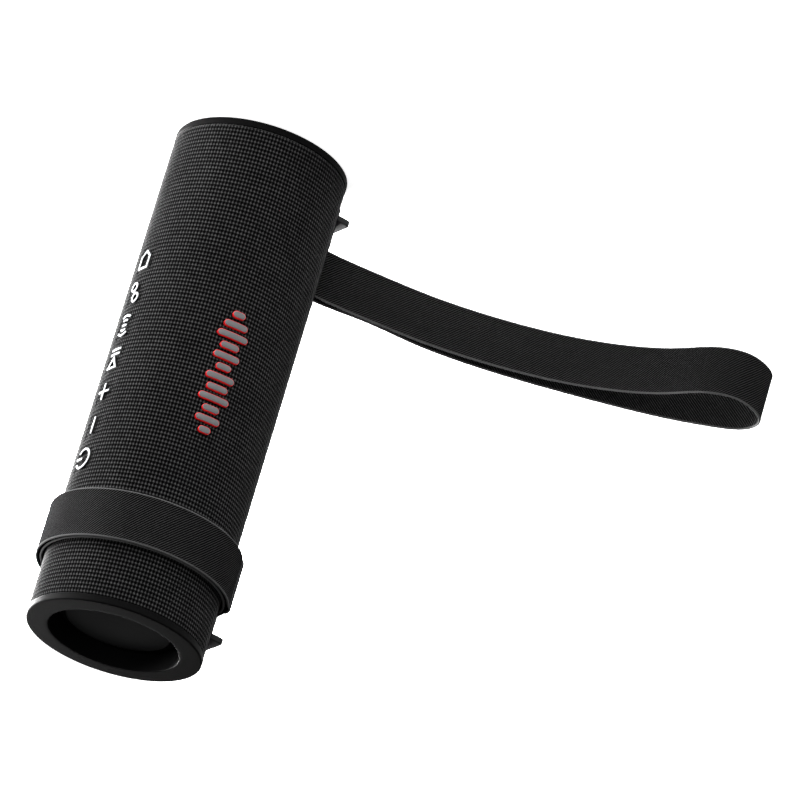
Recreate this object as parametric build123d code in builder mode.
"""Portable splash-proof tube speaker with two carrying straps, as an assembly of separate pieces.

Frame: the speaker stands on one end, +Z runs up its axis and the origin is the centre of the face it
stands on. The seven keys face +X, the feet, the charging port and both strap bars are on the -X side,
and the badge and the two drivers behind it face -Y. All sizes are in millimetres.
"""

import os
from math import cos, radians, sin, sqrt

from build123d import *

os.makedirs("parts", exist_ok=True)

# ---------------------------------------------------------------- driving dimensions
body_length = 211.0
body_radius = 35.0

fabric_thickness = 0.8
grille_thickness = 0.7
shell_wall = 2.0
seat_gap = 0.1  # between pieces that are fixed to each other
moving_gap = 0.3  # between pieces that move past each other

# end rings
ring_band = 3.0  # height of the ring's side that shows beyond the fabric
opening_radius = 26.0
collar_depth = 9.0
spigot_depth = 14.0
spigot_wall = 1.8
seal_width = 1.6
seal_depth = 1.0
ring_screw_count = 3

# passive radiators, depths counted from the end face
surround_width = 3.0
surround_flange = 1.9
surround_thickness = 0.5
radiator_travel = 1.5
plate_crown = 1.2
plate_rim_height = 2.4
frame_thickness = 2.0
weight_radius = 14.0
weight_height = 4.0

# front and rear shells
split_y = 8.0  # the shells part on this plane
baffle_y = -19.4  # outer face of the plate that holds the drivers
baffle_thickness = 2.0
baffle_margin = 2.5
housing_screw_x = 22.0
housing_screw_radius = 1.1
housing_boss_radius = 3.0

# full-range driver
woofer_length = 76.0
woofer_width = 44.0
woofer_flange = 4.0
woofer_roll = 5.0
woofer_travel = 2.5
coil_radius = 9.45
coil_wall = 0.6
coil_gap = 0.35
yoke_radius = 14.0
yoke_height = 10.5
pole_height = 3.0
magnet_height = 4.5

# tweeter
tweeter_z = 45.0
tweeter_radius = 13.0
dome_radius = 7.8
tweeter_magnet_radius = 10.0
tweeter_magnet_height = 8.0

# battery and boards
cell_radius = 9.15
cell_length = 65.0
cell_spacing = 19.2
board_thickness = 1.6
main_board_width = 44.0
main_board_length = 44.0
key_board_inset = 3.8  # from the shell's inner face to the key board's front
key_board_width = 14.0
switch_height = 1.5

# keys
key_count = 7
key_pitch = 14.55
key_size = 12.0
key_width = 11.0
key_travel = 0.5
icon_size = 9.0
icon_stroke = 1.0
icon_height = 0.55  # above the fabric

# badge
badge_angle = -79.5
badge_length = 54.4
badge_height = 12.6
badge_rise = 0.85
badge_face_thickness = 0.2
badge_heights = (0.42, 0.78, 1.0, 0.62, 0.86, 0.5, 0.94, 0.7, 1.0, 0.56, 0.8, 0.4)

# foot rail, feet and strap bars
rail_half_angle = 24.0
rail_rise = 0.3
rail_margin = 9.3
foot_width = 31.0
foot_rise = 2.5  # from the round wall to the flat sole
foot_thickness = 2.6
foot_place = 12.4
strap_width = 20.5
strap_thickness = 0.9
strap_place = 25.5  # from each end face to the strap's near edge
bar_radius = 1.5
bar_inset = 0.6  # from the round wall in to the bars' axis
pin_radius = 1.0  # thinner ends of the bars, in the lugs
bar_angle = 191.8
eye_clearance = 0.3
well_radius = 5.6
well_wall = 1.2
well_margin = 1.5
lug_length = 3.0
lug_rise = 0.7

# charging port
socket_width = 8.94
socket_height = 3.26
socket_depth = 7.35
port_length = 20.4
port_width = 9.6
cover_thickness = 1.8

# route of the carrying loop's middle line, from the bar and round, counted from the bar's axis
loop_route = (
    (-23.5, -5.9),
    (-45.7, -11.2),
    (-73.5, -23.1),
    (-96.8, -38.6),
    (-114.1, -56.5),
    (-125.0, -74.8),
    (-133.0, -91.8),
    (-141.1, -97.7),
    (-151.0, -96.3),
    (-158.7, -89.8),
    (-159.5, -78.8),
    (-152.0, -67.9),
    (-138.2, -55.2),
    (-119.5, -42.1),
    (-94.5, -27.1),
    (-67.4, -13.8),
    (-45.5, -7.1),
    (-24.0, -3.7),
)

# ---------------------------------------------------------------- sizes that follow
fabric_inner = body_radius - fabric_thickness
grille_inner = fabric_inner - grille_thickness
shell_outer = grille_inner - seat_gap
shell_inner = shell_outer - shell_wall
shell_length = body_length - 2 * ring_band
spigot_outer = shell_inner - seat_gap
spigot_inner = spigot_outer - spigot_wall
mid_z = body_length / 2

frame_screw_circle = (opening_radius + spigot_inner) / 2
surround_outer = opening_radius - seat_gap
roll_outer = surround_outer - surround_flange
roll_inner = roll_outer - surround_width
surround_depth = collar_depth - surround_thickness
plate_radius = roll_inner
plate_top = surround_depth - plate_rim_height
inner_depth = surround_depth + weight_height + radiator_travel + 2.0

foot_reach = body_radius + foot_rise
bar_reach = body_radius - bar_inset
key_board_x = shell_inner - key_board_inset
bar_x = bar_reach * cos(radians(bar_angle))
bar_y = bar_reach * sin(radians(bar_angle))
eye_radius = bar_radius + eye_clearance + strap_thickness / 2
strap_low = {"lower": strap_place, "upper": body_length - strap_place - strap_width}
rail_outer = body_radius + rail_rise
rail_inner = shell_outer + seat_gap / 2
key_places = [mid_z + (i - (key_count - 1) / 2) * key_pitch for i in range(key_count)]
ring_screw_depth = (collar_depth + spigot_depth) / 2
baffle_back = baffle_y + baffle_thickness
woofer_z = mid_z
driver_front = baffle_y - baffle_thickness
ENDS = ("lower", "upper")


def save(piece, name):
    """Labels a finished piece and writes it to its own file."""
    piece.label = name
    export_step(piece, f"parts/{name}.step")


def end_section(end):
    """Half section of an end: radius to the right, depth from the end face upwards."""
    if end == "lower":
        return Plane(origin=(0, 0, 0), x_dir=(1, 0, 0), z_dir=(0, -1, 0))
    return Plane(origin=(0, 0, body_length), x_dir=(1, 0, 0), z_dir=(0, 1, 0))


def end_plane(end, depth=0.0):
    """Plane across the axis at a depth from an end face, its normal pointing into the speaker."""
    if end == "lower":
        return Plane.XY.offset(depth)
    return Plane(origin=(0, 0, body_length - depth), x_dir=(1, 0, 0), z_dir=(0, 0, -1))


def facing_front(y, z):
    """Plane that faces -Y at a height: local x is +X and local y is +Z."""
    return Plane(origin=(0, y, z), x_dir=(1, 0, 0), z_dir=(0, -1, 0))


def facing_rear(x, y, z):
    """Plane that faces +Y at a point."""
    return Plane(origin=(x, y, z), x_dir=(1, 0, 0), z_dir=(0, 1, 0))


def reading_plane(angle, distance, z):
    """Plane that faces outwards at an angle round the axis, with its local x down the axis."""
    outwards = (cos(radians(angle)), sin(radians(angle)), 0)
    place = (distance * outwards[0], distance * outwards[1], z)
    return Plane(origin=place, x_dir=(0, 0, -1), z_dir=outwards)


def ring_prism(outer, inner, low, high):
    """A round tube between two heights."""
    with BuildPart() as tube:
        with BuildSketch(Plane.XY.offset(low)):
            Circle(outer)
            Circle(inner, mode=Mode.SUBTRACT)
        extrude(amount=high - low)
    return tube.part


# ---------------------------------------------------------------- end rings, seals and radiators
for end in ENDS:
    seal_low = ring_band + 2.0
    with BuildPart() as end_ring:
        with BuildSketch(end_section(end)):
            with BuildLine():
                Polyline(
                    (opening_radius, 0),
                    (body_radius, 0),
                    (body_radius, ring_band),
                    (spigot_outer, ring_band),
                    (spigot_outer, spigot_depth),
                    (spigot_inner, spigot_depth),
                    (spigot_inner, collar_depth),
                    (opening_radius, collar_depth),
                    close=True,
                )
            make_face()
        revolve(axis=Axis.Z)
        rims = end_ring.edges().filter_by(GeomType.CIRCLE).group_by(Axis.Z)[0 if end == "lower" else -1]
        fillet(rims.sort_by(SortBy.RADIUS)[-1], radius=0.6)
        chamfer(rims.sort_by(SortBy.RADIUS)[0], length=0.4)
        with BuildSketch(end_plane(end, seal_low)):
            Circle(spigot_outer)
            Circle(spigot_outer - seal_depth, mode=Mode.SUBTRACT)
        extrude(amount=seal_width, mode=Mode.SUBTRACT)
        with Locations(Plane.XY.offset(end_plane(end, ring_screw_depth).origin.Z)):
            with PolarLocations(spigot_outer, ring_screw_count, start_angle=30):
                Cylinder(0.9, 3 * spigot_wall, rotation=(0, 90, 0), mode=Mode.SUBTRACT)
        with Locations(end_plane(end, collar_depth)):
            with PolarLocations(frame_screw_circle, 4, start_angle=45):
                Hole(0.9, depth=4.0)
    save(end_ring.part, f"{end}_end_ring")

    with BuildPart() as ring_seal:
        with BuildSketch(end_plane(end, seal_low)):
            Circle(shell_inner)
            Circle(spigot_outer - seal_depth, mode=Mode.SUBTRACT)
        extrude(amount=seal_width)
    save(ring_seal.part, f"{end}_ring_seal")

    with BuildPart() as radiator_frame:
        with BuildSketch(end_plane(end, collar_depth)):
            Circle(spigot_inner - seat_gap)
            Circle(roll_outer, mode=Mode.SUBTRACT)
        extrude(amount=frame_thickness)
        with Locations(end_plane(end, collar_depth + frame_thickness)):
            with PolarLocations(frame_screw_circle, 4, start_angle=45):
                Hole(1.0)
    save(radiator_frame.part, f"{end}_radiator_frame")

    with BuildPart() as surround:
        roll_middle = (roll_outer + roll_inner) / 2
        with BuildSketch(end_section(end)):
            with Locations((roll_middle, surround_depth)):
                Circle(surround_width / 2)
                Circle(surround_width / 2 - surround_thickness, mode=Mode.SUBTRACT)
            with Locations((roll_middle, surround_depth - surround_width)):
                Rectangle(surround_width + 1, 2 * surround_width, mode=Mode.SUBTRACT)
            with Locations((roll_outer - surround_thickness, surround_depth)):
                Rectangle(
                    surround_flange + surround_thickness,
                    surround_thickness,
                    align=(Align.MIN, Align.MIN),
                )
            with Locations((roll_inner + surround_thickness, surround_depth)):
                Rectangle(
                    surround_flange + surround_thickness,
                    surround_thickness,
                    align=(Align.MAX, Align.MIN),
                )
        revolve(axis=Axis.Z)
    save(surround.part, f"{end}_radiator_surround")

    hub_radius = roll_inner - surround_flange - seat_gap
    with BuildPart() as radiator_plate:
        with BuildSketch(end_section(end)):
            with BuildLine():
                crown = ThreePointArc(
                    (0, plate_top - plate_crown),
                    (plate_radius * 0.5, plate_top - plate_crown * 0.75),
                    (plate_radius - 0.6, plate_top),
                )
                Polyline(
                    crown @ 1,
                    (plate_radius, plate_top + 0.6),
                    (plate_radius, surround_depth),
                    (hub_radius, surround_depth),
                    (hub_radius, surround_depth + 2 * surround_thickness),
                    (weight_radius, surround_depth + 2 * surround_thickness),
                    (weight_radius, surround_depth + weight_height),
                    (0, surround_depth + weight_height),
                    crown @ 0,
                )
            make_face()
        revolve(axis=Axis.Z)
    save(radiator_plate.part, f"{end}_radiator_plate")

with BuildPart() as ring_screws:
    for end in ENDS:
        height = end_plane(end, ring_screw_depth).origin.Z
        with Locations(Plane.XY.offset(height)):
            with PolarLocations(shell_outer, ring_screw_count, start_angle=30):
                Cylinder(1.7, 1.0, rotation=(0, -90, 0), align=(Align.CENTER, Align.CENTER, Align.MIN))
                Cylinder(0.9, 3.8, rotation=(0, -90, 0), align=(Align.CENTER, Align.CENTER, Align.MIN))
save(ring_screws.part, "ring_screws")

with BuildPart() as radiator_screws:
    for end in ENDS:
        with Locations(end_plane(end, collar_depth + frame_thickness)):
            with PolarLocations(frame_screw_circle, 4, start_angle=45):
                Cylinder(1.6, 1.0, align=(Align.CENTER, Align.CENTER, Align.MIN))
        with Locations(end_plane(end, collar_depth - 3.5)):
            with PolarLocations(frame_screw_circle, 4, start_angle=45):
                Cylinder(0.9, frame_thickness + 3.5, align=(Align.CENTER, Align.CENTER, Align.MIN))
save(radiator_screws.part, "radiator_screws")

# ---------------------------------------------------------------- openings that several pieces share
key_window = (key_size + 2 * moving_gap, key_width + 2 * moving_gap)
pad_size = (key_size - 2.0, key_width - 2.0)
pad_window = (pad_size[0] + 2 * moving_gap, pad_size[1] + 2 * moving_gap)
port_low = mid_z - port_length / 2
port_high = mid_z + port_length / 2
tether_length = 3.8
tray_floor = rail_inner - 1.0  # distance from the axis to the port tray's floor
tray_wall = 1.2


def cut_key_windows(size, near, far):
    """Cuts one rounded window a key through the wall between two distances from the axis."""
    for z in key_places:
        with BuildSketch(reading_plane(0, near, z)) as window:
            RectangleRounded(size[0], size[1], 1.5)
        extrude(window.sketch, amount=far - near, mode=Mode.SUBTRACT)


def cut_rail_window(half_angle, margin, near, far):
    """Cuts the window for the foot rail between two distances from the axis."""
    with BuildSketch(Plane.XY.offset(margin)) as sector:
        with BuildLine():
            wide = far * 1.3
            Polyline(
                (0, 0),
                (-wide * cos(radians(half_angle)), wide * sin(radians(half_angle))),
                (-wide * cos(radians(half_angle)), -wide * sin(radians(half_angle))),
                close=True,
            )
        make_face()
        Circle(near, mode=Mode.SUBTRACT)
    extrude(sector.sketch, amount=body_length - 2 * margin, mode=Mode.SUBTRACT)


def cut_wells_and_port(clearance):
    """Cuts the strap wells and the port tray's place through the shell."""
    for end in ENDS:
        low = strap_low[end] - well_margin - well_wall - clearance
        high = strap_low[end] + strap_width + well_margin + well_wall + clearance
        with BuildSketch(Plane.XY.offset(low)) as well:
            with Locations((bar_x, bar_y)):
                Circle(well_radius + well_wall + clearance)
        extrude(well.sketch, amount=high - low, mode=Mode.SUBTRACT)
    low = port_low - tether_length - tray_wall - clearance
    with BuildSketch(Plane.XY.offset(low)) as tray:
        with Locations((-shell_outer, 0)):
            Rectangle(4 * shell_wall, port_width + 2 * tray_wall + 2 * clearance)
    extrude(tray.sketch, amount=port_high + tray_wall + clearance - low, mode=Mode.SUBTRACT)


def cut_ring_screw_holes():
    """Cuts the countersunk holes for the screws that hold the end rings."""
    for end in ENDS:
        with Locations(Plane.XY.offset(end_plane(end, ring_screw_depth).origin.Z)):
            with PolarLocations(shell_outer, ring_screw_count, start_angle=30):
                Cylinder(1.0, 6 * shell_wall, rotation=(0, 90, 0), mode=Mode.SUBTRACT)
                Cylinder(1.8, 2.0, rotation=(0, 90, 0), mode=Mode.SUBTRACT)


# ---------------------------------------------------------------- front and rear shells
baffle_low = inner_depth
baffle_high = body_length - inner_depth
woofer_hole = (woofer_length - 2 * woofer_flange, woofer_width - 2 * woofer_flange)
cradle_length = cell_length + 2.4
cradle_low = mid_z - cradle_length / 2
boss_heights = (inner_depth + 4.0, cradle_low + cradle_length + 6.0)
main_board_low = cradle_low + cradle_length + 11.0
main_board_y = 2.0
post_places = [
    (side * (main_board_width / 2 - 4), main_board_low + offset)
    for side in (-1, 1)
    for offset in (4.0, main_board_length - 4.0)
]
key_board_length = (key_count - 1) * key_pitch + key_size + 4.0
key_post_places = [(y, mid_z + side * (key_board_length / 2 - 2.0)) for y in (-4.5, 4.5) for side in (-1, 1)]

with BuildPart() as front_shell:
    with BuildSketch(Plane.XY.offset(ring_band)):
        Circle(shell_outer)
        Circle(shell_inner, mode=Mode.SUBTRACT)
    extrude(amount=shell_length)
    with BuildSketch(Plane.XY.offset(baffle_low)):
        with Locations((0, baffle_y + baffle_thickness / 2)):
            Rectangle(2 * shell_outer, baffle_thickness)
        Circle(shell_inner + shell_wall / 2, mode=Mode.INTERSECT)
    extrude(amount=baffle_high - baffle_low)
    split(bisect_by=Plane.XZ.offset(-split_y), keep=Keep.TOP)
    # holes for the drivers, through the baffle and through the wall in front of them
    with BuildSketch(facing_front(baffle_back, woofer_z)):
        SlotOverall(woofer_hole[0] + 1, woofer_hole[1] + 1, rotation=90)
    extrude(amount=2 * shell_outer, mode=Mode.SUBTRACT)
    with BuildSketch(facing_front(baffle_back, tweeter_z)):
        Circle(tweeter_magnet_radius + 0.4)
    extrude(amount=2 * shell_outer, mode=Mode.SUBTRACT)
    # posts for the two boards and bosses for the housing screws
    for x, z in post_places:
        with BuildSketch(facing_rear(x, baffle_back, z)):
            Circle(2.2)
        extrude(amount=main_board_y - baffle_back)
        with BuildSketch(facing_rear(x, main_board_y, z)):
            Circle(0.9)
        extrude(amount=-6.0, mode=Mode.SUBTRACT)
    for y, z in key_post_places:
        with BuildSketch(Plane(origin=(key_board_x, y, z), x_dir=(0, 1, 0), z_dir=(1, 0, 0))):
            Circle(1.6)
        extrude(amount=sqrt(shell_inner**2 - y**2) - key_board_x + 0.6)
        with BuildSketch(Plane(origin=(key_board_x, y, z), x_dir=(0, 1, 0), z_dir=(1, 0, 0))):
            Circle(0.6)
        extrude(amount=2.4, mode=Mode.SUBTRACT)
    for z in boss_heights:
        for side in (-1, 1):
            with BuildSketch(facing_rear(side * housing_screw_x, split_y, z)):
                Circle(housing_boss_radius)
            extrude(amount=baffle_back - split_y)
            with BuildSketch(facing_rear(side * housing_screw_x, split_y, z)):
                Circle(housing_screw_radius)
            extrude(amount=-10.0, mode=Mode.SUBTRACT)
    cut_key_windows(key_window, shell_inner - 4.0, shell_outer + 1.0)
    cut_wells_and_port(seat_gap)
    cut_ring_screw_holes()
save(front_shell.part, "front_shell")

with BuildPart() as rear_shell:
    with BuildSketch(Plane.XY.offset(ring_band)):
        Circle(shell_outer)
        Circle(shell_inner, mode=Mode.SUBTRACT)
    extrude(amount=shell_length)
    split(bisect_by=Plane.XZ.offset(-split_y - seat_gap), keep=Keep.BOTTOM)
    for z in boss_heights:
        for side in (-1, 1):
            place = (side * housing_screw_x, split_y + seat_gap, z)
            wall_y = sqrt(shell_inner**2 - housing_screw_x**2)
            with BuildSketch(facing_rear(*place)):
                Circle(housing_boss_radius)
            extrude(amount=wall_y - split_y - seat_gap - 0.6)
            with BuildSketch(facing_rear(*place)):
                Circle(housing_screw_radius + seat_gap)
            extrude(amount=shell_outer, mode=Mode.SUBTRACT)
            with BuildSketch(facing_rear(place[0], wall_y - 4.0, z)):
                Circle(2.4)
            extrude(amount=shell_outer, mode=Mode.SUBTRACT)
    cut_wells_and_port(seat_gap)
    cut_ring_screw_holes()
save(rear_shell.part, "rear_shell")

with BuildPart() as housing_screws:
    wall_y = sqrt(shell_inner**2 - housing_screw_x**2)
    for z in boss_heights:
        for side in (-1, 1):
            with BuildSketch(facing_rear(side * housing_screw_x, wall_y - 4.0, z)):
                Circle(2.2)
            extrude(amount=1.8)
            with BuildSketch(facing_rear(side * housing_screw_x, wall_y - 4.0, z)):
                Circle(housing_screw_radius)
            extrude(amount=-(wall_y - 4.0 - split_y + 9.0))
save(housing_screws.part, "housing_screws")

# ---------------------------------------------------------------- grille and fabric
with BuildPart() as grille:
    add(ring_prism(fabric_inner, grille_inner, ring_band, body_length - ring_band))
    slots_high = 9
    for step in range(12):
        angle = -90 + (step - 5.5) * 9.0
        with BuildSketch(reading_plane(angle, shell_inner, mid_z)):
            with GridLocations(10.5, 0, slots_high, 1):
                SlotOverall(8.0, 2.2)
        extrude(amount=5.0, mode=Mode.SUBTRACT)
    for step in range(6):
        angle = -90 + (step - 2.5) * 9.0
        with BuildSketch(reading_plane(angle, shell_inner, tweeter_z)):
            with GridLocations(7.5, 0, 3, 1):
                SlotOverall(5.5, 2.2)
        extrude(amount=5.0, mode=Mode.SUBTRACT)
    cut_key_windows(pad_window, shell_inner - 4.0, body_radius + 1.0)
    cut_rail_window(rail_half_angle + 0.2, rail_margin - seat_gap, shell_inner, body_radius)
save(grille.part, "grille")

with BuildPart() as fabric_sleeve:
    add(ring_prism(body_radius, fabric_inner, ring_band, body_length - ring_band))
    cut_key_windows(pad_window, shell_inner - 4.0, body_radius + 1.0)
    cut_rail_window(rail_half_angle + 0.2, rail_margin - seat_gap, shell_inner, body_radius)
save(fabric_sleeve.part, "fabric_sleeve")

# ---------------------------------------------------------------- foot rail, feet, port and strap bars
with BuildPart() as foot_rail:
    edge_x = 1.4 * body_radius * cos(radians(rail_half_angle))
    edge_y = 1.4 * body_radius * sin(radians(rail_half_angle))
    with BuildSketch(Plane.XY.offset(rail_margin)):
        Circle(rail_outer)
        Circle(rail_inner, mode=Mode.SUBTRACT)
        with BuildLine():
            Polyline((0, 0), (-edge_x, edge_y), (-edge_x, -edge_y), close=True)
        make_face(mode=Mode.INTERSECT)
    extrude(amount=body_length - 2 * rail_margin)
    # closed cups round the strap bars, and the tray round the port
    for end in ENDS:
        low = strap_low[end] - well_margin
        high = low + strap_width + 2 * well_margin
        with BuildSketch(Plane.XY.offset(low - well_wall)):
            with Locations((bar_x, bar_y)):
                Circle(well_radius + well_wall)
            Circle(rail_outer, mode=Mode.INTERSECT)
        extrude(amount=high - low + 2 * well_wall)
        for lug_low in (low - lug_length, high):
            with BuildSketch(Plane.XY.offset(lug_low)):
                with Locations((bar_x, bar_y)):
                    Circle(bar_radius + well_wall)
                Circle(rail_outer + lug_rise, mode=Mode.INTERSECT)
                Circle(rail_inner, mode=Mode.SUBTRACT)
            extrude(amount=lug_length)
        with BuildSketch(Plane.XY.offset(low)):
            with Locations((bar_x, bar_y)):
                Circle(well_radius)
        extrude(amount=high - low, mode=Mode.SUBTRACT)
        with BuildSketch(Plane.XY.offset(low - lug_length / 2)):
            with Locations((bar_x, bar_y)):
                Circle(pin_radius)
        extrude(amount=high - low + lug_length, mode=Mode.SUBTRACT)
    tray_low = port_low - tether_length
    with BuildSketch(Plane.XY.offset(tray_low - tray_wall)):
        with Locations((-tray_floor + tray_wall, 0)):
            Rectangle(
                rail_outer - tray_floor + tray_wall,
                port_width + 2 * tray_wall,
                align=(Align.MAX, Align.CENTER),
            )
        Circle(rail_outer, mode=Mode.INTERSECT)
    extrude(amount=port_high - tray_low + 2 * tray_wall)
    with BuildSketch(Plane.XY.offset(tray_low)):
        with Locations((-tray_floor, 0)):
            Rectangle(2 * (rail_outer - tray_floor), port_width, align=(Align.MAX, Align.CENTER))
    extrude(amount=port_high - tray_low, mode=Mode.SUBTRACT)
    with BuildSketch(Plane(origin=(-tray_floor, 0, mid_z), x_dir=(0, 0, 1), z_dir=(1, 0, 0))):
        SlotOverall(socket_width + 2 * seat_gap, socket_height + 2 * seat_gap)
    extrude(amount=2 * tray_wall, both=True, mode=Mode.SUBTRACT)
save(foot_rail.part, "foot_rail")

for end in ENDS:
    with BuildPart() as foot:
        with BuildSketch(end_plane(end, foot_place)):
            with Locations((-foot_reach, 0)):
                Rectangle(foot_reach - body_radius / 2, foot_width, align=(Align.MIN, Align.CENTER))
            Circle(rail_outer, mode=Mode.SUBTRACT)
        extrude(amount=foot_thickness)
        fillet(foot.edges().filter_by(Axis.Z).group_by(Axis.X)[0], radius=1.5)
        fillet(foot.faces().sort_by(Axis.X)[0].edges().filter_by(Axis.Y), radius=0.5)
    save(foot.part, f"{end}_foot")

    with BuildPart() as strap_bar:
        span = strap_width + 2 * well_margin
        for radius, reach in ((bar_radius, 0.0), (pin_radius, lug_length / 2)):
            with BuildSketch(Plane.XY.offset(strap_low[end] - well_margin - reach)):
                with Locations((bar_x, bar_y)):
                    Circle(radius)
            extrude(amount=span + 2 * reach)
    save(strap_bar.part, f"{end}_strap_bar")

hinge_x = -rail_outer - 0.1
hinge_z = port_low
with BuildPart() as port_cover:
    cover_gap = moving_gap
    with BuildSketch(Plane.XY.offset(port_low + cover_gap)):
        with Locations((hinge_x, 0)):
            Rectangle(cover_thickness, port_width - 2 * cover_gap, align=(Align.MIN, Align.CENTER))
    extrude(amount=port_length - cover_gap - 0.5)
    with BuildSketch(Plane(origin=(hinge_x + cover_thickness, 0, mid_z), x_dir=(0, 0, 1), z_dir=(1, 0, 0))):
        SlotOverall(socket_width - 1.5, socket_height - 1.0)
    extrude(amount=0.6)
    with BuildSketch(Plane.XY.offset(port_high - 2.4)):
        with Locations((hinge_x, 0)):
            Rectangle(0.6, 5.0, align=(Align.MAX, Align.CENTER))
    extrude(amount=1.2)
save(port_cover.part, "port_cover")

with BuildPart() as port_cover_tether:
    with BuildSketch(Plane.XY.offset(port_low - tether_length + seat_gap)):
        with Locations((hinge_x, 0)):
            Rectangle(cover_thickness, port_width - 2 * seat_gap, align=(Align.MIN, Align.CENTER))
    extrude(amount=tether_length - seat_gap)
save(port_cover_tether.part, "port_cover_tether")

socket_front = -tray_floor + 0.2
with BuildPart() as usb_socket:
    with BuildSketch(Plane(origin=(socket_front, 0, mid_z), x_dir=(0, 0, 1), z_dir=(1, 0, 0))):
        SlotOverall(socket_width, socket_height)
    extrude(amount=socket_depth)
    with BuildSketch(Plane(origin=(socket_front, 0, mid_z), x_dir=(0, 0, 1), z_dir=(1, 0, 0))):
        SlotOverall(socket_width - 0.6, socket_height - 0.6)
    extrude(amount=socket_depth - 1.2, mode=Mode.SUBTRACT)
    with BuildSketch(Plane(origin=(socket_front + 0.8, 0, mid_z), x_dir=(0, 0, 1), z_dir=(1, 0, 0))):
        Rectangle(socket_width - 2.2, 0.7)
    extrude(amount=socket_depth - 0.8)
save(usb_socket.part, "usb_socket")

with BuildPart() as usb_board:
    with BuildSketch(Plane.XY.offset(mid_z - 8.0)):
        with Locations((socket_front + 1.4, -socket_height / 2)):
            Rectangle(16.0, board_thickness, align=(Align.MIN, Align.MAX))
    extrude(amount=16.0)
save(usb_board.part, "usb_board")

# ---------------------------------------------------------------- straps
def route_point(point):
    """A point of the loop's route in the speaker's frame."""
    return (bar_x + point[0], bar_y + point[1])


with BuildPart() as carry_strap:
    with BuildSketch(Plane.XY.offset(strap_low["lower"])):
        with BuildLine():
            eye = CenterArc((bar_x, bar_y), eye_radius, 90, -180)
            Spline(
                [eye @ 1] + [route_point(point) for point in loop_route] + [eye @ 0],
                tangents=[(-1, -0.05), (1, 0.05)],
            )
        trace(line_width=strap_thickness)
    extrude(amount=strap_width)
save(carry_strap.part, "carry_strap")

inner_layer = body_radius + 0.85 + strap_thickness / 2
outer_layer = inner_layer + 1.75
wrap_start = -146.0
wrap_end = 150.0


def polar(radius, angle):
    """Point at a radius and an angle round the axis, in degrees."""
    return (radius * cos(radians(angle)), radius * sin(radians(angle)))


with BuildPart() as wrap_strap:
    with BuildSketch(Plane.XY.offset(strap_low["upper"])):
        with BuildLine():
            outer = CenterArc((0, 0), outer_layer, wrap_start, wrap_end - wrap_start)
            fold = CenterArc(
                polar((inner_layer + outer_layer) / 2, wrap_end), (outer_layer - inner_layer) / 2, wrap_end, 180
            )
            inner = CenterArc((0, 0), inner_layer, wrap_end, wrap_start - wrap_end - 8.0)
            eye = CenterArc((bar_x, bar_y), eye_radius, bar_angle + 5.0, -270)
            Spline(
                [eye @ 0, polar(outer_layer + 0.8, wrap_start - 9), outer @ 0],
                tangents=[eye % 0 * -1, outer % 0],
            )
            Spline([inner @ 1, eye @ 1], tangents=[inner % 1, eye % 1 * -1])
        trace(line_width=strap_thickness)
    extrude(amount=strap_width)
save(wrap_strap.part, "wrap_strap")

# ---------------------------------------------------------------- full-range driver
with BuildPart() as woofer_basket:
    floor_y = -6.0
    with BuildSketch(facing_front(baffle_y, woofer_z)):
        SlotOverall(woofer_length, woofer_width, rotation=90)
    extrude(amount=baffle_thickness)
    with BuildSketch(facing_front(baffle_y, woofer_z)):
        SlotOverall(woofer_hole[0], woofer_hole[1], rotation=90)
    with BuildSketch(facing_front(floor_y, woofer_z)):
        SlotOverall(2 * yoke_radius + 10, 2 * yoke_radius + 4, rotation=90)
    loft()
    with BuildSketch(facing_front(baffle_y - baffle_thickness, woofer_z)):
        SlotOverall(woofer_hole[0] - 2.4, woofer_hole[1] - 2.4, rotation=90)
    with BuildSketch(facing_front(floor_y - 1.5, woofer_z)):
        SlotOverall(2 * yoke_radius + 7, 2 * yoke_radius + 1.4, rotation=90)
    loft(mode=Mode.SUBTRACT)
    with BuildSketch(facing_front(floor_y + 1, woofer_z)):
        Circle(coil_radius + coil_wall + 1.2)
    extrude(amount=4.0, mode=Mode.SUBTRACT)
    for side in (-1, 1):
        with BuildSketch(Plane(origin=(0, -12.0, woofer_z + side * 20), x_dir=(1, 0, 0), z_dir=(0, 0, side))):
            SlotOverall(16.0, 6.0)
        extrude(amount=20.0, mode=Mode.SUBTRACT)
    with Locations(facing_front(driver_front, woofer_z)):
        with GridLocations(14.0, woofer_length - 5.0, 2, 2):
            Hole(1.2, depth=baffle_thickness)
save(woofer_basket.part, "woofer_basket")

with BuildPart() as woofer_yoke:
    with BuildSketch(facing_front(floor_y + yoke_height, woofer_z)):
        Circle(yoke_radius)
    extrude(amount=yoke_height)
    with BuildSketch(facing_front(floor_y, woofer_z)):
        Circle(coil_radius + coil_wall / 2 + coil_gap)
    extrude(amount=-(pole_height + magnet_height), mode=Mode.SUBTRACT)
save(woofer_yoke.part, "woofer_yoke")

with BuildPart() as woofer_magnet:
    with BuildSketch(facing_front(floor_y + pole_height, woofer_z)):
        Circle(coil_radius - coil_wall / 2 - coil_gap - 0.8)
    extrude(amount=-magnet_height)
save(woofer_magnet.part, "woofer_magnet")

with BuildPart() as woofer_pole_plate:
    with BuildSketch(facing_front(floor_y, woofer_z)):
        Circle(coil_radius - coil_wall / 2 - coil_gap)
    extrude(amount=-pole_height)
save(woofer_pole_plate.part, "woofer_pole_plate")

with BuildPart() as woofer_voice_coil:
    with BuildSketch(facing_front(floor_y + 4.2, woofer_z)):
        Circle(coil_radius + coil_wall / 2)
        Circle(coil_radius - coil_wall / 2, mode=Mode.SUBTRACT)
    extrude(amount=10.0)
save(woofer_voice_coil.part, "woofer_voice_coil")

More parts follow.
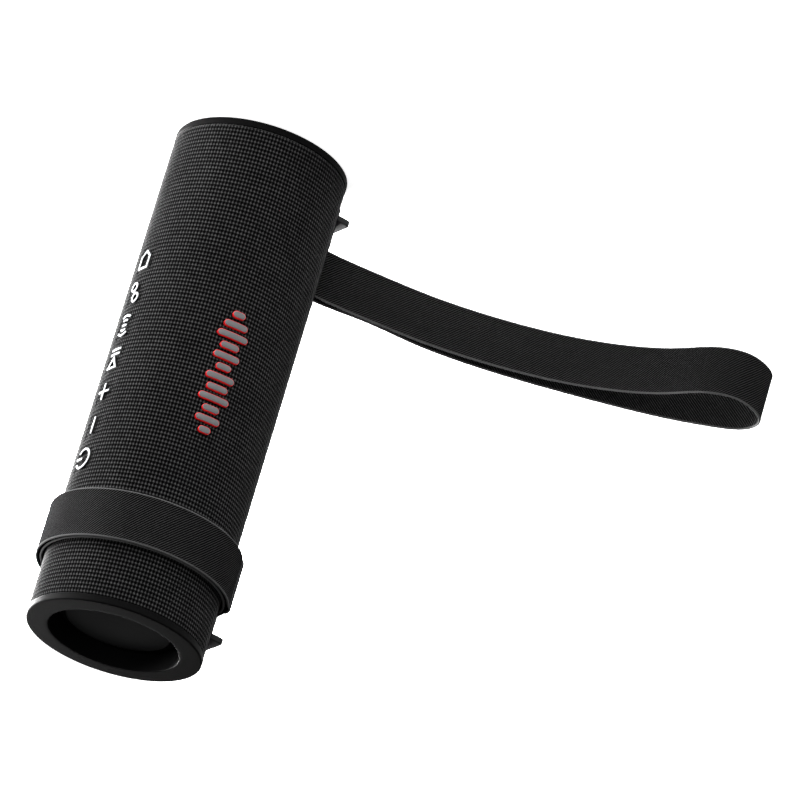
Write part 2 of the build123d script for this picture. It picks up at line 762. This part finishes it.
cone_rim = (woofer_hole[0] - 2 * woofer_roll, woofer_hole[1] - 2 * woofer_roll)
neck_y = floor_y - 5.8
with BuildPart() as woofer_cone:
    for skin, mode in ((0.0, Mode.ADD), (1.1, Mode.SUBTRACT)):
        with BuildSketch(facing_front(driver_front - (0.01 if skin else 0), woofer_z)):
            SlotOverall(cone_rim[0] - skin, cone_rim[1] - skin, rotation=90)
        with BuildSketch(facing_front(neck_y + (0.01 if skin else 0), woofer_z)):
            radius = coil_radius + coil_wall / 2 + 0.6 - skin / 2
            SlotOverall(2 * radius + 0.4, 2 * radius, rotation=90)
        loft(mode=mode)
save(woofer_cone.part, "woofer_cone")

with BuildPart() as woofer_dust_cap:
    with BuildSketch(Plane(origin=(0, 0, woofer_z), x_dir=(1, 0, 0), z_dir=(0, 0, 1))):
        with BuildLine():
            cap_arc = ThreePointArc((0, neck_y - 5.4), (5.6, neck_y - 4.4), (coil_radius - 0.4, neck_y - 2.6))
            Polyline(cap_arc @ 1, (coil_radius - 0.4, neck_y - 2.0), (0, neck_y - 4.8), cap_arc @ 0)
        make_face()
    revolve(axis=Axis((0, 0, woofer_z), (0, 1, 0)))
save(woofer_dust_cap.part, "woofer_dust_cap")

with BuildPart() as woofer_surround:
    roll_high = 2.6
    with BuildSketch(facing_front(driver_front, woofer_z)):
        SlotOverall(woofer_hole[0] + 1.6, woofer_hole[1] + 1.6, rotation=90)
        SlotOverall(cone_rim[0] - 1.0, cone_rim[1] - 1.0, rotation=90, mode=Mode.SUBTRACT)
    extrude(amount=0.5)
    with BuildSketch(facing_front(driver_front, woofer_z)):
        SlotOverall(woofer_hole[0], woofer_hole[1], rotation=90)
        SlotOverall(cone_rim[0], cone_rim[1], rotation=90, mode=Mode.SUBTRACT)
    extrude(amount=roll_high)
    top = woofer_surround.faces().sort_by(Axis.Y)[0]
    fillet(top.edges(), radius=1.8)
    with BuildSketch(facing_front(driver_front, woofer_z)):
        SlotOverall(woofer_hole[0] - 1.2, woofer_hole[1] - 1.2, rotation=90)
        SlotOverall(cone_rim[0] + 1.2, cone_rim[1] + 1.2, rotation=90, mode=Mode.SUBTRACT)
    extrude(amount=roll_high - 0.6, mode=Mode.SUBTRACT)
save(woofer_surround.part, "woofer_surround")

with BuildPart() as woofer_spider:
    with BuildSketch(facing_front(floor_y - 1.5, woofer_z)):
        Circle(yoke_radius - 0.4)
        Circle(yoke_radius - 1.6, mode=Mode.SUBTRACT)
    extrude(amount=1.0)
    with BuildSketch(facing_front(floor_y - 2.1, woofer_z)):
        Circle(yoke_radius - 0.4)
        Circle(coil_radius + coil_wall / 2, mode=Mode.SUBTRACT)
    extrude(amount=0.4)
save(woofer_spider.part, "woofer_spider")

# ---------------------------------------------------------------- tweeter
with BuildPart() as tweeter_faceplate:
    with BuildSketch(facing_front(baffle_y, tweeter_z)):
        Circle(tweeter_radius)
        Circle(dome_radius + moving_gap, mode=Mode.SUBTRACT)
    extrude(amount=baffle_thickness)
    with Locations(facing_front(driver_front, tweeter_z)):
        with PolarLocations(tweeter_radius - 1.9, 3, start_angle=90):
            Hole(0.9, depth=baffle_thickness)
save(tweeter_faceplate.part, "tweeter_faceplate")

with BuildPart() as tweeter_dome:
    with BuildSketch(Plane(origin=(0, 0, tweeter_z), x_dir=(1, 0, 0), z_dir=(0, 0, 1))):
        with BuildLine():
            dome_low = baffle_y - 0.6
            dome_arc = ThreePointArc((0, dome_low - 3.0), (4.2, dome_low - 2.2), (dome_radius - 0.3, dome_low))
            Polyline(dome_arc @ 1, (dome_radius - 0.9, dome_low), (0, dome_low - 2.4), dome_arc @ 0)
        make_face()
    revolve(axis=Axis((0, 0, tweeter_z), (0, 1, 0)))
save(tweeter_dome.part, "tweeter_dome")

with BuildPart() as tweeter_magnet:
    with BuildSketch(facing_front(baffle_y + tweeter_magnet_height, tweeter_z)):
        Circle(tweeter_magnet_radius)
    extrude(amount=tweeter_magnet_height)
save(tweeter_magnet.part, "tweeter_magnet")

with BuildPart() as driver_screws:
    with Locations(facing_front(driver_front, woofer_z)):
        with GridLocations(14.0, woofer_length - 5.0, 2, 2):
            Cylinder(1.9, 0.9, align=(Align.CENTER, Align.CENTER, Align.MIN))
            Cylinder(1.2, baffle_thickness, align=(Align.CENTER, Align.CENTER, Align.MAX))
    with Locations(facing_front(driver_front, tweeter_z)):
        with PolarLocations(tweeter_radius - 1.9, 3, start_angle=90):
            Cylinder(1.5, 0.8, align=(Align.CENTER, Align.CENTER, Align.MIN))
            Cylinder(0.9, baffle_thickness, align=(Align.CENTER, Align.CENTER, Align.MAX))
save(driver_screws.part, "driver_screws")

# ---------------------------------------------------------------- battery and boards
cell_y = floor_y + yoke_height + 3.4 + cell_radius
with BuildPart() as battery_cells:
    with BuildSketch(Plane.XY.offset(mid_z - cell_length / 2)):
        with Locations((-cell_spacing / 2, cell_y), (cell_spacing / 2, cell_y)):
            Circle(cell_radius)
    extrude(amount=cell_length - 1.0)
    with BuildSketch(Plane.XY.offset(mid_z + cell_length / 2 - 1.0)):
        with Locations((-cell_spacing / 2, cell_y), (cell_spacing / 2, cell_y)):
            Circle(cell_radius / 3)
    extrude(amount=1.0)
save(battery_cells.part, "battery_cells")

with BuildPart() as battery_cradle:
    cradle_front = floor_y + yoke_height + 1.5
    with BuildSketch(Plane.XY.offset(cradle_low)):
        with Locations((0, cradle_front)):
            Rectangle(cell_spacing + 2 * cell_radius + 3.0, 13.0, align=(Align.CENTER, Align.MIN))
        Circle(shell_inner - seat_gap, mode=Mode.INTERSECT)
    extrude(amount=cradle_length)
    with BuildSketch(Plane.XY.offset(cradle_low + 1.2)):
        with Locations((-cell_spacing / 2, cell_y), (cell_spacing / 2, cell_y)):
            Circle(cell_radius + seat_gap)
    extrude(amount=cell_length, mode=Mode.SUBTRACT)
save(battery_cradle.part, "battery_cradle")

with BuildPart() as main_board:
    with BuildSketch(facing_rear(0, main_board_y, main_board_low + main_board_length / 2)):
        RectangleRounded(main_board_width, main_board_length, 2.0)
        with Locations([(x, z - main_board_low - main_board_length / 2) for x, z in post_places]):
            Circle(1.1, mode=Mode.SUBTRACT)
    extrude(amount=board_thickness)
save(main_board.part, "main_board")

with BuildPart() as board_components:
    chips = (
        (-8.0, 10.0, 9.0, 9.0, 1.2),
        (8.0, 11.0, 7.0, 7.0, 1.0),
        (-10.0, -9.0, 6.0, 6.0, 4.0),
        (-2.0, -9.0, 6.0, 6.0, 4.0),
        (12.0, -6.0, 10.0, 13.0, 1.8),
    )
    board_face = facing_rear(0, main_board_y + board_thickness, main_board_low + main_board_length / 2)
    for across, up, width, height, depth in chips:
        with BuildSketch(board_face):
            with Locations((across, up)):
                Rectangle(width, height)
        extrude(amount=depth)
    with Locations(board_face):
        with Locations((0, 17.0, 0), (9.0, 18.0, 0)):
            Cylinder(2.6, 7.0, align=(Align.CENTER, Align.CENTER, Align.MIN))
save(board_components.part, "board_components")

with BuildPart() as key_board:
    with BuildSketch(Plane.XY.offset(mid_z - key_board_length / 2)):
        with Locations((key_board_x, 0)):
            Rectangle(1.2, key_board_width, align=(Align.MAX, Align.CENTER))
    extrude(amount=key_board_length)
    for y, z in key_post_places:
        with Locations(Plane(origin=(key_board_x, y, z), x_dir=(0, 1, 0), z_dir=(1, 0, 0))):
            Hole(0.8)
save(key_board.part, "key_board")

with BuildPart() as key_switches:
    for z in key_places:
        with BuildSketch(reading_plane(0, key_board_x, z)):
            RectangleRounded(5.2, 5.2, 0.5)
        extrude(amount=switch_height * 0.6)
        with BuildSketch(reading_plane(0, key_board_x + switch_height * 0.6, z)):
            Circle(1.3)
        extrude(amount=switch_height * 0.4)
save(key_switches.part, "key_switches")

with BuildPart() as board_screws:
    for x, z in post_places:
        with BuildSketch(facing_rear(x, main_board_y + board_thickness, z)):
            Circle(1.9)
        extrude(amount=1.2)
        with BuildSketch(facing_rear(x, main_board_y + board_thickness, z)):
            Circle(0.9)
        extrude(amount=-(board_thickness + 5.0))
    for y, z in key_post_places:
        with BuildSketch(Plane(origin=(key_board_x - 1.2, y, z), x_dir=(0, 1, 0), z_dir=(-1, 0, 0))):
            Circle(1.2)
        extrude(amount=0.8)
        with BuildSketch(Plane(origin=(key_board_x - 1.2, y, z), x_dir=(0, 1, 0), z_dir=(-1, 0, 0))):
            Circle(0.6)
        extrude(amount=-3.2)
save(board_screws.part, "board_screws")


# ---------------------------------------------------------------- keys
def stroke(lines):
    """Adds a line drawing to the sketch as strokes of the icons' width."""
    for line in lines:
        trace(line.edges(), line_width=icon_stroke)


def draw_power():
    """Broken ring with a bar in its gap."""
    with BuildLine(mode=Mode.PRIVATE) as ring:
        CenterArc((0, 0), icon_size / 2 - icon_stroke / 2, 125, 290)
    with BuildLine(mode=Mode.PRIVATE) as bar:
        Line((0, 0.4), (0, icon_size / 2))
    stroke((ring, bar))


def draw_minus():
    """One bar."""
    with BuildLine(mode=Mode.PRIVATE) as bar:
        Line((-icon_size * 0.4, 0), (icon_size * 0.4, 0))
    stroke((bar,))


def draw_plus():
    """Two crossed bars."""
    draw_minus()
    with BuildLine(mode=Mode.PRIVATE) as bar:
        Line((0, -icon_size * 0.4), (0, icon_size * 0.4))
    stroke((bar,))


def draw_outline(points):
    """A closed outline of the stroke's width."""
    with BuildLine(mode=Mode.PRIVATE) as outline:
        Polyline(*points, close=True)
    face = make_face(outline.edges(), mode=Mode.PRIVATE)
    offset(face, amount=icon_stroke / 2, kind=Kind.ARC)
    offset(face, amount=-icon_stroke / 2, kind=Kind.INTERSECTION, mode=Mode.SUBTRACT)


def draw_play():
    """Triangle beside two upright bars."""
    half = icon_size * 0.3
    draw_outline(((-icon_size * 0.46, -half), (-icon_size * 0.46, half), (icon_size * 0.02, 0)))
    for across in (0.21, 0.44):
        with Locations((icon_size * across, 0)):
            Rectangle(icon_stroke, 2 * half + icon_stroke)


def draw_pairing():
    """Short bar with two waves each side."""
    Rectangle(icon_stroke, icon_size * 0.34)
    for radius in (icon_size * 0.26, icon_size * 0.48):
        for start in (-40, 140):
            with BuildLine(mode=Mode.PRIVATE) as wave:
                CenterArc((0, 0), radius, start, 80)
            stroke((wave,))


def draw_link():
    """Two rings joined by a bar."""
    radius = icon_size * 0.2
    for side in (-1, 1):
        with Locations((side * icon_size * 0.27, side * icon_size * 0.14)):
            Circle(radius + icon_stroke / 2)
            Circle(radius - icon_stroke / 2, mode=Mode.SUBTRACT)
    Rectangle(icon_size * 0.26, icon_stroke, rotation=27)


def draw_preset():
    """House-shaped pentagon on its side."""
    half = icon_size * 0.42
    draw_outline(
        (
            (-half, -half * 0.75),
            (-half, half * 0.75),
            (half * 0.35, half * 0.75),
            (half, 0),
            (half * 0.35, -half * 0.75),
        )
    )


keys = {
    "preset": draw_preset,
    "link": draw_link,
    "pairing": draw_pairing,
    "play": draw_play,
    "plus": draw_plus,
    "minus": draw_minus,
    "power": draw_power,
}
cap_low = shell_inner + 0.6
cap_high = grille_inner - 0.2
pad_high = fabric_inner - 0.2
icon_high = body_radius + icon_height
for (name, draw), z in zip(keys.items(), key_places):
    with BuildPart() as key:
        with BuildSketch(reading_plane(0, cap_low - 4, z)):
            RectangleRounded(key_size, key_width, 1.2)
        extrude(amount=12)
        add(ring_prism(cap_high, cap_low, z - key_size, z + key_size), mode=Mode.INTERSECT)
        with BuildPart(mode=Mode.PRIVATE) as pad:
            with BuildSketch(reading_plane(0, cap_low - 4, z)):
                RectangleRounded(*pad_size, 1.0)
            extrude(amount=12)
            add(ring_prism(pad_high, cap_low + 0.2, z - key_size, z + key_size), mode=Mode.INTERSECT)
        with BuildPart(mode=Mode.PRIVATE) as icon:
            with BuildSketch(reading_plane(0, cap_low - 4, z)):
                draw()
            extrude(amount=12)
            add(ring_prism(icon_high, pad_high - 0.3, z - key_size, z + key_size), mode=Mode.INTERSECT)
        add(pad.part)
        add(icon.part)
        tip = key_board_x + switch_height + key_travel + 0.15
        with BuildSketch(reading_plane(0, tip, z)):
            Circle(1.5)
        extrude(amount=cap_high - 0.3 - tip)
    save(key.part, f"{name}_key")

# ---------------------------------------------------------------- badge
bar_pitch = badge_length / len(badge_heights)
bar_width = bar_pitch * 0.62


def badge_bars(inner, outer):
    """The row of rounded upright bars, between two distances from the axis."""
    with BuildPart() as bars:
        for i, share in enumerate(badge_heights):
            z = mid_z + 0.6 + (i - (len(badge_heights) - 1) / 2) * bar_pitch
            with BuildSketch(reading_plane(badge_angle, fabric_inner - 2, z)):
                SlotOverall(badge_height * share, bar_width, rotation=90)
            extrude(amount=6)
        add(ring_prism(outer, inner, 2 * ring_band, body_length - 2 * ring_band), mode=Mode.INTERSECT)
    return bars.part


badge_outer = body_radius + badge_rise
save(badge_bars(body_radius, badge_outer), "badge_base")
save(badge_bars(badge_outer, badge_outer + badge_face_thickness), "badge_faces")
